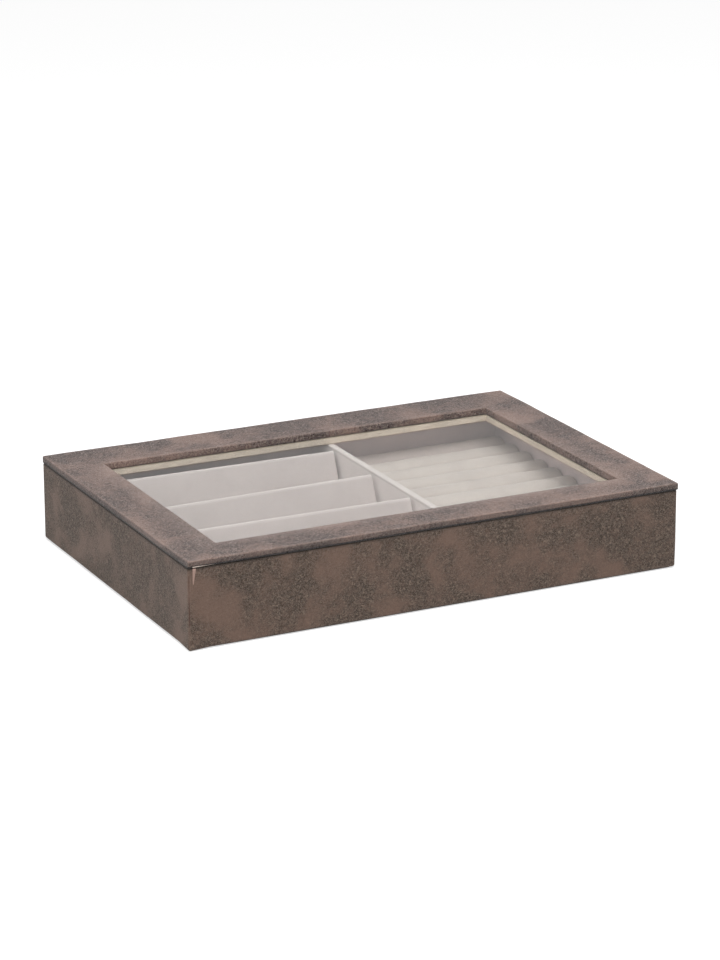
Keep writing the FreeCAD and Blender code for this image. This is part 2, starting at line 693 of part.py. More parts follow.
def hinge_leaf(label, hinge_x, for_lid):
    """A pressed leaf: plate, bridges, knuckles and, on the lid's, a stop lug."""
    half = "hinge_length / 2"
    level = "lid_board_bottom - leaf_thickness" if for_lid else "wall_top"
    head_level = level if for_lid else "wall_top + leaf_thickness"
    start = hinge_x + " - " + half
    pieces = [solid("Box", label + "_plate", start, "leaf_front_y", level,
                    Length="hinge_length", Width="leaf_back_y - leaf_front_y",
                    Height="leaf_thickness")]
    if for_lid:
        knuckles = [(hinge_x + " - knuckle_middle / 2", "knuckle_middle")]
    else:
        knuckles = [(start, "outer_knuckle"),
                    (hinge_x + " + " + half + " - outer_knuckle", "outer_knuckle")]
    for number, (x, length) in enumerate(knuckles, start=1):
        pieces.append(rod("%s_knuckle_%d" % (label, number), "knuckle_radius", length, x))
        pieces.append(solid("Box", "%s_bridge_%d" % (label, number), x, "leaf_back_y", level,
                            Length=length, Width="pin_y - leaf_back_y", Height="leaf_thickness"))
    if for_lid:
        pieces.append(stop_lug(label, hinge_x))
    base = joined("MultiFuse", label + "_base", pieces)
    tools = [rod(label + "_bore", "bore_radius", "hinge_length + 2 * bore_overrun",
                 start + " - bore_overrun")]
    for name, side in (("left", "-"), ("right", "+")):
        tools.append(sink(label + "_hole_" + name, hinge_x + " " + side + " screw_spacing / 2",
                          head_level, for_lid))
    return cut(label, base, tools)


def stop_lug(label, hinge_x):
    """A small lug on the middle knuckle that meets the case at wide open.

    Its leading corner reaches the back of the case when the lug stands
    meeting_angle away from straight down.
    """
    corner = "sqrt(lug_reach ^ 2 + (lug_thickness / 2) ^ 2)"
    meeting_angle = ("asin((hinge_setback - lug_play) / " + corner + ")"
                     " - atan(lug_thickness / 2 / lug_reach)")
    rest_angle = "lid_open_angle * 1deg - (" + meeting_angle + ")"
    side = "lug_thickness / 2"
    # the box hangs straight down from the pin before it is turned
    lug = solid("Box", label + "_lug",
                hinge_x + " - lug_length / 2",
                "pin_y - " + side + " * cos(" + rest_angle + ") + lug_reach * sin(" + rest_angle + ")",
                "pin_z - " + side + " * sin(" + rest_angle + ") - lug_reach * cos(" + rest_angle + ")",
                Length="lug_length", Width="lug_thickness", Height="lug_reach - bore_radius")
    turn(lug, FreeCAD.Vector(1, 0, 0), rest_angle)
    return lug


def hinges():
    screws = {"case_hinge_screws": [], "lid_hinge_screws": []}
    for side, hinge_x in (("left", "-hinge_spread"), ("right", "hinge_spread")):
        hinge_leaf("hinge_case_leaf_" + side, hinge_x, False)
        hinge_leaf("hinge_lid_leaf_" + side, hinge_x, True)
        pin = rod("pin_" + side, "pin_radius", "hinge_length", hinge_x + " - hinge_length / 2")
        pin.Label = "hinge_pin_" + side
        for label, level, upwards in (
                ("case_hinge_screws", "wall_top + leaf_thickness", False),
                ("lid_hinge_screws", "lid_board_bottom - leaf_thickness", True)):
            for end in ("-", "+"):
                name = "%s_%s_%d" % (label, side, len(screws[label]))
                x = hinge_x + " " + end + " screw_spacing / 2"
                screws[label].append(sink(name, x, level, upwards))
    for label, group in screws.items():
        joined("Compound", "group_" + label, group).Label = label


case_boards()
case_wrap()
base_felt()
linings()
centre_divider()
for partition_label in ("front_partition", "middle_partition", "back_partition"):
    partition(partition_label)
for roll_number in range(1, int(sheet.get("roll_count")) + 1):
    ring_roll(roll_number)
lid_boards()
lid_glass()
lid_liner()
lid_wrap()
hinges()
doc.recompute()

# Every object has to be sound before anything is written
for thing in doc.Objects:
    if "Invalid" in thing.State or "Error" in thing.State:
        raise RuntimeError(thing.Name + " failed: " + str(thing.State))

os.makedirs("parts", exist_ok=True)
leaf_labels = ["hinge_%s_leaf_%s" % (kind, side)
               for kind in ("case", "lid") for side in ("left", "right")]
other_labels = ["hinge_pin_left", "hinge_pin_right", "case_hinge_screws", "lid_hinge_screws"]
bodies = [thing.Label for thing in doc.Objects if thing.TypeId == "PartDesign::Body"]
for label in bodies + leaf_labels + other_labels:
    subpart = doc.getObjectsByLabel(label)[0]
    shape = subpart.Shape
    if shape.isNull() or not shape.isValid() or shape.Volume <= 0:
        raise RuntimeError(label + " has no sound shape")
    shape.exportStep("parts/" + label + ".step")
    print("%-24s %8.1f mm3 in %d solids" % (label, shape.Volume, len(shape.Solids)))
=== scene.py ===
import bpy
import bmesh
import json
import math
import random
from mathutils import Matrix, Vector, noise


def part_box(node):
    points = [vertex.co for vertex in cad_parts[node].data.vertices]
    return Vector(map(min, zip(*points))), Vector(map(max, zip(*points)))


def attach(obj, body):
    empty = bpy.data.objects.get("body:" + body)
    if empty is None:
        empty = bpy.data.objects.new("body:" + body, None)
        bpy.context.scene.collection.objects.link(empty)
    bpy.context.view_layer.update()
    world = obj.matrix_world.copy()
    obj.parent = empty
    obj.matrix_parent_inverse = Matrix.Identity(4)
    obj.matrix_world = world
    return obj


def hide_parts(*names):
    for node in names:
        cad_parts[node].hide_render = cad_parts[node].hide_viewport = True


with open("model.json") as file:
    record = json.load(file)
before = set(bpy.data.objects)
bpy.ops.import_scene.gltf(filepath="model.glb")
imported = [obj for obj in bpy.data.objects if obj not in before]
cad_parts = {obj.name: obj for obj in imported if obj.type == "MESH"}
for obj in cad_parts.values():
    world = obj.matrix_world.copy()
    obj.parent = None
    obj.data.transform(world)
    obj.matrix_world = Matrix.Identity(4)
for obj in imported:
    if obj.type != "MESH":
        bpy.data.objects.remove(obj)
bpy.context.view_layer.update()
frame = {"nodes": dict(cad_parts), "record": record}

# Shallow jewellery box: suede-wrapped case, window lid on two hinges,
# leaning velvet partitions on the left and ring rolls on the right.

mm = 0.001
closeTo = 0.01 * mm     # places nearer to each other than this count as one
noise.seed_set(12)      # without it the cloth would lie differently on each run

print("stage 1: frame loaded,", len(frame["nodes"]), "nodes")


# Selection and edit helpers

def clearSelection():
    if bpy.context.object and bpy.context.object.mode != "OBJECT":
        bpy.ops.object.mode_set(mode="OBJECT")
    bpy.ops.object.select_all(action="DESELECT")


def makeActive(piece):
    clearSelection()
    piece.select_set(True)
    bpy.context.view_layer.objects.active = piece


def boxOf(node):
    low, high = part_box(node)
    return Vector(low), Vector(high)


def sideGap(co, low, high):
    # how far inside the nearest of a box's four upright sides
    return min(co.x - low.x, high.x - co.x, co.y - low.y, high.y - co.y)


def addBlock(name, low, high):
    clearSelection()
    low, high = Vector(low), Vector(high)
    bpy.ops.mesh.primitive_cube_add(size=1, location=(low + high) / 2)
    block = bpy.context.object
    block.name = name
    block.data.name = name
    block.scale = high - low
    bpy.ops.object.transform_apply(location=True, rotation=False, scale=True)
    return block


def startEdit(piece):
    makeActive(piece)
    bpy.ops.object.mode_set(mode="EDIT")


def endEdit():
    bpy.ops.object.mode_set(mode="OBJECT")


def pickFaces(piece, test):
    bpy.ops.mesh.select_mode(type="FACE")
    bpy.ops.mesh.select_all(action="DESELECT")
    shape = bmesh.from_edit_mesh(piece.data)
    for face in shape.faces:
        face.select_set(test(face.calc_center_median(), face.normal))
    bmesh.update_edit_mesh(piece.data)


def pickEdges(piece, test):
    bpy.ops.mesh.select_mode(type="EDGE")
    bpy.ops.mesh.select_all(action="DESELECT")
    shape = bmesh.from_edit_mesh(piece.data)
    for edge in shape.edges:
        edge.select_set(test(edge.verts[0].co) and test(edge.verts[1].co))
    bmesh.update_edit_mesh(piece.data)


def moveVertices(piece, change):
    for vertex in piece.data.vertices:
        vertex.co = change(vertex.co.copy())
    piece.data.update()


def roundPicked(radius, segments):
    bpy.ops.mesh.bevel(offset=radius, segments=segments, profile=0.5, affect="EDGES", clamp_overlap=False)


def extrudePicked(shift):
    bpy.ops.mesh.extrude_region_move(TRANSFORM_OT_translate={"value": shift})


def cutLoops(axis, places):
    # edge loops all round the piece, for soft wobble later
    for spot in places:
        point, direction = [0, 0, 0], [0, 0, 0]
        point[axis] = spot
        direction[axis] = 1
        bpy.ops.mesh.select_all(action="SELECT")
        bpy.ops.mesh.bisect(plane_co=point, plane_no=direction)


def evenly(start, end, step):
    count = max(1, round((end - start) / step))
    return [start + (end - start) * number / count for number in range(1, count)]


def evenlyBetween(start, end, margin, step):
    # the same, with one more loop close to each end
    return [start + margin] + evenly(start + margin, end - margin, step) + [end - margin]


def applyModifier(piece, kind, **settings):
    makeActive(piece)
    modifier = piece.modifiers.new(kind.lower(), kind)
    for key, value in settings.items():
        setattr(modifier, key, value)
    bpy.ops.object.modifier_apply(modifier=modifier.name)


def cutAway(piece, low, high):
    cutter = addBlock("cutter", low, high)
    applyModifier(piece, "BOOLEAN", operation="DIFFERENCE", solver="EXACT", object=cutter)
    bpy.data.objects.remove(cutter, do_unlink=True)


def smoothByAngle(piece, degrees):
    makeActive(piece)
    bpy.ops.object.shade_smooth_by_angle(angle=math.radians(degrees))


def wobble(piece, amount, size, seed, ease=None):
    # hand-laid cloth never lies quite flat
    offset = Vector((seed, seed * 2.3, seed * 3.7))

    def shift(co):
        share = ease(co) if ease else 1
        return co + noise.noise_vector(co / size + offset) * amount * share

    moveVertices(piece, shift)


def paintEdges(piece, low, high, reach, amount):
    # edgeWearAndHighlight is rubbed wear and painted highlight together: highest on outer corners and edges,
    # fading out over reach
    wearAndHighlight = piece.data.attributes.new("edgeWearAndHighlight", "FLOAT", "POINT")
    for index, vertex in enumerate(piece.data.vertices):
        gaps = []
        for axis in range(3):
            gap = min(vertex.co[axis] - low[axis], high[axis] - vertex.co[axis])
            gaps.append(max(0.0, gap))
        gaps.sort()
        wearAndHighlight.data[index].value = amount * max(0.0, 1 - (gaps[0] + gaps[1]) / reach)


def wearWhere(piece, test, amount):
    # painted highlight in places beside the ones that paintEdges finds
    wearAndHighlight = piece.data.attributes["edgeWearAndHighlight"]
    for index, vertex in enumerate(piece.data.vertices):
        if test(vertex.co):
            wearAndHighlight.data[index].value = amount


def paintShade(piece, amountAt):
    # edgeShade is painted shade: it darkens the cloth where case and lid meet
    shade = piece.data.attributes.new("edgeShade", "FLOAT", "POINT")
    for index, vertex in enumerate(piece.data.vertices):
        shade.data[index].value = amountAt(vertex.co)


def fade(value, start, end):
    # 0 at start, 1 at end, straight between
    return min(1.0, max(0.0, (value - start) / (end - start)))


def dress(piece, material, body):
    piece.data.materials.clear()
    piece.data.materials.append(material)
    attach(piece, body)


# Node helpers

def addNode(tree, kind, spot, values=None, **settings):
    node = tree.nodes.new(kind)
    node.location = spot
    for key, value in settings.items():
        setattr(node, key, value)
    for key, value in (values or {}).items():
        node.inputs[key].default_value = value
    return node


def newGroup(name, inputs, outputs):
    group = bpy.data.node_groups.new(name, "ShaderNodeTree")
    for label, kind, value in inputs:
        socket = group.interface.new_socket(name=label, in_out="INPUT", socket_type=kind)
        if value is not None:
            socket.default_value = value
    for label, kind in outputs:
        group.interface.new_socket(name=label, in_out="OUTPUT", socket_type=kind)
    start = addNode(group, "NodeGroupInput", (-1200, 0))
    end = addNode(group, "NodeGroupOutput", (900, 0))
    return group, start, end


def mapRange(tree, source, spot, fromLow, fromHigh, toLow=0.0, toHigh=1.0, smooth=True):
    node = addNode(tree, "ShaderNodeMapRange", spot,
                   {"From Min": fromLow, "From Max": fromHigh, "To Min": toLow, "To Max": toHigh})
    node.interpolation_type = "SMOOTHSTEP" if smooth else "LINEAR"
    tree.links.new(source, node.inputs["Value"])
    return node.outputs["Result"]


def maths(tree, operation, spot, first, second, clamp=False):
    node = addNode(tree, "ShaderNodeMath", spot, operation=operation, use_clamp=clamp)
    for index, source in enumerate((first, second)):
        if isinstance(source, (int, float)):
            node.inputs[index].default_value = source
        else:
            tree.links.new(source, node.inputs[index])
    return node.outputs["Value"]


def mixColor(tree, spot, factor, first, second, blend="MIX"):
    node = addNode(tree, "ShaderNodeMix", spot, data_type="RGBA", blend_type=blend)
    sockets = [node.inputs[0], node.inputs[6], node.inputs[7]]
    for socket, source in zip(sockets, (factor, first, second)):
        if isinstance(source, bpy.types.NodeSocket):
            tree.links.new(source, socket)
        else:
            socket.default_value = source
    return node.outputs[2]


def noiseField(tree, vector, spot, scale, detail=2.0, roughness=0.5, distortion=0.0):
    node = addNode(tree, "ShaderNodeTexNoise", spot,
                   {"Detail": detail, "Roughness": roughness, "Distortion": distortion})
    tree.links.new(vector, node.inputs["Vector"])
    if isinstance(scale, bpy.types.NodeSocket):
        tree.links.new(scale, node.inputs["Scale"])
    else:
        node.inputs["Scale"].default_value = scale
    return node.outputs["Fac"]


# Shared effects

def suedeMottleGroup():
    group, start, end = newGroup(
        "suedeMottle",
        [("Vector", "NodeSocketVector", None),
         ("Warm", "NodeSocketColor", (0.3, 0.2, 0.17, 1)),
         ("Cool", "NodeSocketColor", (0.16, 0.14, 0.13, 1)),
         ("Speck", "NodeSocketColor", (0.06, 0.05, 0.04, 1)),
         ("Tips", "NodeSocketColor", (0.3, 0.24, 0.19, 1)),
         ("Rub And Highlight", "NodeSocketColor", (0.42, 0.3, 0.25, 1)),
         ("Patch Scale", "NodeSocketFloat", 45.0),
         ("Grain Scale", "NodeSocketFloat", 600.0),
         ("Wear And Highlight", "NodeSocketFloat", 0.0),
         ("Shade", "NodeSocketFloat", 0.0),
         ("Least Grain", "NodeSocketFloat", 0.16)],
        [("Color", "NodeSocketColor"), ("Roughness", "NodeSocketFloat"), ("Height", "NodeSocketFloat")])
    vector = start.outputs["Vector"]
    patchScale, grainScale = start.outputs["Patch Scale"], start.outputs["Grain Scale"]
    # soft clouds, broken up at a few millimetres
    clouds = noiseField(group, vector, (-950, 300), patchScale, 3.0, 0.52, 0.3)
    breakScale = maths(group, "MULTIPLY", (-1150, 520), patchScale, 5.0)
    broken = noiseField(group, vector, (-950, 520), breakScale, 2.0, 0.5, 0.3)
    cloudy = mapRange(group, clouds, (-760, 300), 0.34, 0.62)
    ragged = mapRange(group, broken, (-760, 520), 0.30, 0.62, 0.6, 1.0)
    patch = maths(group, "MULTIPLY", (-580, 400), cloudy, ragged)
    # wormy grain: dark crackle and pale tips
    grain = noiseField(group, vector, (-950, 60), grainScale, 2.0, 0.65, 1.3)
    crackle = mapRange(group, grain, (-760, 60), 0.44, 0.50, 1.0, 0.0)
    tips = mapRange(group, grain, (-760, -160), 0.54, 0.63)
    # the grain is strongest in the cool patches and never weaker than Least Grain
    grainRange = addNode(group, "ShaderNodeMapRange", (-380, 200), {"From Max": 0.8})
    group.links.new(patch, grainRange.inputs["Value"])
    group.links.new(start.outputs["Least Grain"], grainRange.inputs["To Min"])
    grainAmount = grainRange.outputs["Result"]
    dark = maths(group, "MULTIPLY", (-200, 0), crackle, grainAmount)
    pale = maths(group, "MULTIPLY", (-200, -180), tips, grainAmount)
    ground = mixColor(group, (-200, 420), patch, start.outputs["Warm"], start.outputs["Cool"])
    speckled = mixColor(group, (20, 300), maths(group, "MULTIPLY", (-20, 60), dark, 0.62),
                        ground, start.outputs["Speck"])
    dusted = mixColor(group, (220, 300), maths(group, "MULTIPLY", (-20, -120), pale, 0.55),
                      speckled, start.outputs["Tips"])
    # rubbed wear and painted highlight on the edges: the pale colour is mixed in where the attribute marks
    # them
    breakup = mapRange(group, broken, (20, 620), 0.3, 0.6, 0.4, 1.0)
    rubAndHighlight = maths(group, "MULTIPLY", (220, 620), start.outputs["Wear And Highlight"], breakup)
    wornAndLit = mixColor(group, (440, 300), maths(group, "MULTIPLY", (420, 520), rubAndHighlight, 0.6, True),
                    dusted, start.outputs["Rub And Highlight"])
    # painted shade along the joint of case and lid
    shaded = mixColor(group, (640, 300), start.outputs["Shade"], wornAndLit, start.outputs["Speck"])
    group.links.new(shaded, end.inputs["Color"])
    group.links.new(mapRange(group, dark, (220, -60), 0.0, 1.0, 0.6, 0.9, False), end.inputs["Roughness"])
    height = maths(group, "SUBTRACT", (220, -260), maths(group, "MULTIPLY", (20, -260), pale, 0.5), dark)
    group.links.new(height, end.inputs["Height"])
    return group


def napGroup():
    group, start, end = newGroup(
        "velvetNap",
        [("Vector", "NodeSocketVector", None),
         ("Color", "NodeSocketColor", (0.6, 0.57, 0.53, 1)),
         ("Shade", "NodeSocketColor", (0.5, 0.47, 0.44, 1)),
         ("Nap Scale", "NodeSocketFloat", 1500.0)],
        [("Color", "NodeSocketColor"), ("Roughness", "NodeSocketFloat"), ("Height", "NodeSocketFloat")])
    vector = start.outputs["Vector"]
    brushed = noiseField(group, vector, (-900, 300), 38.0, 3.0, 0.55, 0.8)
    pile = noiseField(group, vector, (-900, 60), start.outputs["Nap Scale"], 2.0, 0.6, 0.3)
    lay = mapRange(group, brushed, (-640, 300), 0.35, 0.68, 0.0, 0.55)
    tips = mapRange(group, pile, (-640, 60), 0.3, 0.7, 0.0, 0.35)
    tint = maths(group, "ADD", (-420, 200), lay, tips, True)
    color = mixColor(group, (-200, 240), tint, start.outputs["Color"], start.outputs["Shade"])
    group.links.new(color, end.inputs["Color"])
    group.links.new(mapRange(group, pile, (-420, -60), 0.0, 1.0, 0.86, 1.0, False), end.inputs["Roughness"])
    group.links.new(pile, end.inputs["Height"])
    return group


def newMaterial(name):
    material = bpy.data.materials.new(name)
    material.use_nodes = True
    tree = material.node_tree
    tree.nodes.clear()
    output = addNode(tree, "ShaderNodeOutputMaterial", (600, 0))
    shader = addNode(tree, "ShaderNodeBsdfPrincipled", (300, 0))
    tree.links.new(shader.outputs["BSDF"], output.inputs["Surface"])
    return material, tree, shader


def objectPlace(tree):
    return addNode(tree, "ShaderNodeTexCoord", (-900, 0)).outputs["Object"]


def addBump(tree, shader, height, depth, strength):
    bump = addNode(tree, "ShaderNodeBump", (80, -260), {"Distance": depth, "Strength": strength})
    tree.links.new(height, bump.inputs["Height"])
    tree.links.new(bump.outputs["Normal"], shader.inputs["Normal"])


def fillFromGroup(tree, shader, group, values, depth, strength):
    node = addNode(tree, "ShaderNodeGroup", (-300, 0), node_tree=group)
    tree.links.new(objectPlace(tree), node.inputs["Vector"])
    for key, value in values.items():
        node.inputs[key].default_value = value
    tree.links.new(node.outputs["Color"], shader.inputs["Base Color"])
    tree.links.new(node.outputs["Roughness"], shader.inputs["Roughness"])
    addBump(tree, shader, node.outputs["Height"], depth, strength)
    return node


# Materials

caseSuedeLook = {
    "warm": (0.168, 0.103, 0.075, 1),
    "cool": (0.108, 0.072, 0.051, 1),
    "speck": (0.028, 0.019, 0.013, 1),
    "tips": (0.31, 0.235, 0.18, 1),
    "rubAndHighlight": (0.34, 0.235, 0.19, 1),
    "patchScale": 40.0,     # patches of 10 to 25 mm
    "leastGrain": 0.2,
    "grainScale": 950.0,    # grain of about 1 mm
    "reliefDepth": 0.3 * mm,
    "relief": 0.85,
    "sheen": 0.22,
    "sheenTint": (1.0, 0.92, 0.86, 1),
}

# the lid's copy of the suede is lighter, with paler pinkish patches and tips beside darker specks: partly
# its own mottle, partly painted light for its brighter top and the grazing highlights on its grain
lidSuedeLook = dict(
    caseSuedeLook,
    warm=(0.260, 0.166, 0.133, 1),
    cool=(0.104, 0.067, 0.056, 1),
    speck=(0.012, 0.008, 0.006, 1),
    tips=(0.50, 0.40, 0.345, 1),
    rubAndHighlight=(0.40, 0.285, 0.24, 1),
    patchScale=34.0,
    leastGrain=0.5,
    relief=1.0,
    sheen=0.3,
    sheenTint=(1.0, 0.96, 0.97, 1),
)


def suedeMaterial(group, name, look):
    material, tree, shader = newMaterial(name)
    values = {"Warm": look["warm"], "Cool": look["cool"], "Speck": look["speck"], "Tips": look["tips"],
              "Rub And Highlight": look["rubAndHighlight"], "Patch Scale": look["patchScale"], "Grain Scale": look["grainScale"],
              "Least Grain": look["leastGrain"]}
    node = fillFromGroup(tree, shader, group, values, look["reliefDepth"], look["relief"])
    wearAndHighlight = addNode(tree, "ShaderNodeAttribute", (-600, -200), attribute_name="edgeWearAndHighlight")
    tree.links.new(wearAndHighlight.outputs["Fac"], node.inputs["Wear And Highlight"])
    shade = addNode(tree, "ShaderNodeAttribute", (-600, -400), attribute_name="edgeShade")
    tree.links.new(shade.outputs["Fac"], node.inputs["Shade"])
    shader.inputs["Sheen Weight"].default_value = look["sheen"]
    shader.inputs["Sheen Roughness"].default_value = 0.5
    shader.inputs["Sheen Tint"].default_value = look["sheenTint"]
    shader.inputs["Specular IOR Level"].default_value = 0.4
    return material


def plainSuede(group, name, colour):
    # the seam, the turned-in end and the pale fold each show one colour; the seam's dark colour is partly
    # painted shadow of its groove, the fold's pale one partly a painted highlight
    material, tree, shader = newMaterial(name)
    shade = [value * 0.75 for value in colour[:3]] + [1]
    fillFromGroup(tree, shader, group, {"Color": colour, "Shade": shade}, 0.1 * mm, 0.4)
    shader.inputs["Specular IOR Level"].default_value = 0.2
    return material


def velvetMaterial(group, name, colour, shade, sheen):
    material, tree, shader = newMaterial(name)
    fillFromGroup(tree, shader, group, {"Color": colour, "Shade": shade}, 0.12 * mm, 0.35)
    shader.inputs["Sheen Weight"].default_value = sheen
    shader.inputs["Sheen Roughness"].default_value = 0.45
    shader.inputs["Specular IOR Level"].default_value = 0.1
    return material


def crestMaterial(group, name, colour, shade, paintedCrestColour, share):
    # velvet on the upright cards, with painted light on the rounded top: it takes another tone there, set by
    # the caller
    material = velvetMaterial(group, name, colour, shade, 0.25)
    tree = material.node_tree
    shader = tree.nodes["Principled BSDF"]
    split = addNode(tree, "ShaderNodeSeparateXYZ", (-500, 400))
    tree.links.new(objectPlace(tree), split.inputs["Vector"])
    top = boxOf("front_partition")[1].z
    paintedCrest = mapRange(tree, split.outputs["Z"], (-300, 400), top - 1.6 * mm, top - 0.7 * mm, 0.0, share)
    ground = shader.inputs["Base Color"].links[0].from_socket
    tree.links.new(mixColor(tree, (60, 300), paintedCrest, ground, paintedCrestColour), shader.inputs["Base Color"])
    return material


def glassMaterial():
    material, tree, shader = newMaterial("windowGlass")
    shader.inputs["Base Color"].default_value = (0.965, 0.985, 0.975, 1)
    shader.inputs["Roughness"].default_value = 0.0
    shader.inputs["Transmission Weight"].default_value = 1.0
    shader.inputs["IOR"].default_value = 1.5
    # daylight passes straight through to the velvet below
    clear = addNode(tree, "ShaderNodeBsdfTransparent", (300, 200), {"Color": (0.94, 0.95, 0.945, 1)})
    path = addNode(tree, "ShaderNodeLightPath", (100, 420))
    mix = addNode(tree, "ShaderNodeMixShader", (460, 120))
    tree.links.new(path.outputs["Is Shadow Ray"], mix.inputs["Fac"])
    tree.links.new(shader.outputs["BSDF"], mix.inputs[1])
    tree.links.new(clear.outputs["BSDF"], mix.inputs[2])
    tree.links.new(mix.outputs["Shader"], tree.nodes["Material Output"].inputs["Surface"])
    return material


def nickelMaterial():
    material, tree, shader = newMaterial("satinNickel")
    place = objectPlace(tree)
    stretch = addNode(tree, "ShaderNodeMapping", (-700, 0), {"Scale": (60, 1400, 1400)})
    tree.links.new(place, stretch.inputs["Vector"])
    brushed = noiseField(tree, stretch.outputs["Vector"], (-480, 0), 1.0, 3.0, 0.6)
    smudge = noiseField(tree, place, (-480, 260), 220.0, 3.0, 0.6)
    colour = mixColor(tree, (-160, 200), smudge, (0.66, 0.62, 0.55, 1), (0.5, 0.46, 0.4, 1))
    tree.links.new(colour, shader.inputs["Base Color"])
    tree.links.new(mapRange(tree, brushed, (-160, -40), 0.3, 0.7, 0.24, 0.42), shader.inputs["Roughness"])
    addBump(tree, shader, brushed, 0.03 * mm, 0.4)
    shader.inputs["Metallic"].default_value = 1.0
    return material


def boardMaterial():
    material, tree, shader = newMaterial("fibreBoard")
    place = objectPlace(tree)
    fibres = noiseField(tree, place, (-480, 0), 900.0, 3.0, 0.7)
    clouds = noiseField(tree, place, (-480, 260), 60.0, 3.0, 0.6)
    base = mixColor(tree, (-240, 200), clouds, (0.44, 0.34, 0.23, 1), (0.33, 0.25, 0.17, 1))
    colour = mixColor(tree, (-60, 200), mapRange(tree, fibres, (-240, 0), 0.4, 0.7, 0.0, 0.5),
                      base, (0.2, 0.15, 0.1, 1))
    tree.links.new(colour, shader.inputs["Base Color"])
    shader.inputs["Roughness"].default_value = 0.85
    addBump(tree, shader, fibres, 0.1 * mm, 0.4)
    return material


def feltMaterial(group):
    material, tree, shader = newMaterial("baseFelt")
    values = {"Color": (0.06, 0.052, 0.047, 1), "Shade": (0.03, 0.026, 0.023, 1), "Nap Scale": 800.0}
    fillFromGroup(tree, shader, group, values, 0.3 * mm, 0.7)
    shader.inputs["Sheen Weight"].default_value = 0.2
    return material


mottle = suedeMottleGroup()
nap = napGroup()
suede = suedeMaterial(mottle, "suedeWrap", caseSuedeLook)
lidSuede = suedeMaterial(mottle, "lidSuede", lidSuedeLook)
paleFoldAndHighlight = plainSuede(nap, "paleFoldAndHighlight", (0.46, 0.31, 0.26, 1))
paleEdge = plainSuede(nap, "paleEdge", (0.86, 0.72, 0.62, 1))
seamShadow = plainSuede(nap, "seamShadow", (0.11, 0.065, 0.053, 1))
velvet = velvetMaterial(nap, "greyVelvet", (0.50, 0.43, 0.41, 1), (0.44, 0.375, 0.355, 1), 0.25)
# painted light: the wall linings get a lighter, pinker copy of the grey velvet, tuned to the shade on the
# walls
wallPaintedLightVelvet = velvetMaterial(nap, "wallPaintedLightVelvet", (0.79, 0.655, 0.65, 1), (0.68, 0.56, 0.555, 1), 0.2)
creamVelvet = velvetMaterial(nap, "creamVelvet", (0.52, 0.455, 0.42, 1), (0.45, 0.39, 0.36, 1), 0.25)
# painted light: a copy of the cream velvet retoned for the last roll, which lies in the lid's shade
shadedVelvet = velvetMaterial(nap, "shadedVelvet", (0.60, 0.505, 0.475, 1), (0.53, 0.45, 0.42, 1), 0.15)
# painted highlight along the partitions' rounded tops
crestHighlightVelvet = crestMaterial(nap, "crestHighlightVelvet", (0.485, 0.42, 0.405, 1), (0.43, 0.37, 0.355, 1),
                            (0.70, 0.62, 0.60, 1), 0.35)
# painted light: the divider's velvet is lighter, to make up for the shade on its left face, and its top is
# painted darker
dividerPaintedLightVelvet = crestMaterial(nap, "dividerPaintedLightVelvet", (0.74, 0.655, 0.635, 1), (0.675, 0.60, 0.58, 1),
                              (0.52, 0.455, 0.435, 1), 0.8)
# the liner's velvet is lighter and yellower than the cream velvet: partly its own colour, partly painted
# light for the brightly lit strip under the window edge
creamLiner = velvetMaterial(nap, "creamLiner", (0.74, 0.645, 0.55, 1), (0.67, 0.585, 0.50, 1), 0.1)
windowGlass = glassMaterial()
nickel = nickelMaterial()
board = boardMaterial()
felt = feltMaterial(nap)
print("stage 2: materials made")


def finishNodes():
    # every node gets its finish here, and the rigid ones also keep their CAD shape
    finishes = {
        "velvet": velvet, "cream_velvet": creamVelvet, "board": board,
        "base_felt": felt, "window_glass": windowGlass, "nickel": nickel, "suede_wrap": suede,
    }
    slots = {entry["node"]: entry["material_slot"] for entry in frame["record"]["subparts"]}
    for name, piece in frame["nodes"].items():
        material = finishes[slots[name]]
        # the liner, wall linings, partitions and divider get the copies of the velvet with painted light
        # made above
        if name == "lid_liner":
            material = creamLiner
        elif name.endswith("_lining") and name != "floor_lining":
            material = wallPaintedLightVelvet
        elif name.endswith("_partition"):
            material = crestHighlightVelvet
        elif name == "centre_divider":
            material = dividerPaintedLightVelvet
        if piece.material_slots:
            for slot in piece.material_slots:
                slot.material = material
        else:
            piece.data.materials.append(material)


finishNodes()


# Suede wrap of the case

caseWrapLook = {
    "edgeRadius": 1.4 * mm,
    "innerRimRadius": 0.9 * mm,
    "hemDepth": 10 * mm,
    "underHem": 12 * mm,
    "loopStep": 12 * mm,
    "edgeLoop": 2.6 * mm,
    "wobble": 0.22 * mm,
    "wobbleSize": 26 * mm,
    "wearAndHighlightReach": 1.6 * mm,
    "wearAndHighlight": 0.55,
    "rimShade": 0.95,
    "rimShadeDepth": 1.7 * mm,
    "rimShadeFull": 0.8 * mm,
    "flatBackReach": 12 * mm,
    "bunchReach": 16 * mm,
    "bunchHeight": 8 * mm,
    "bunchShift": (-0.7 * mm, -1.1 * mm, -0.6 * mm),
}


def wrapThickness():
    return boxOf("case_wrap")[1].z - boxOf("back_wall")[1].z


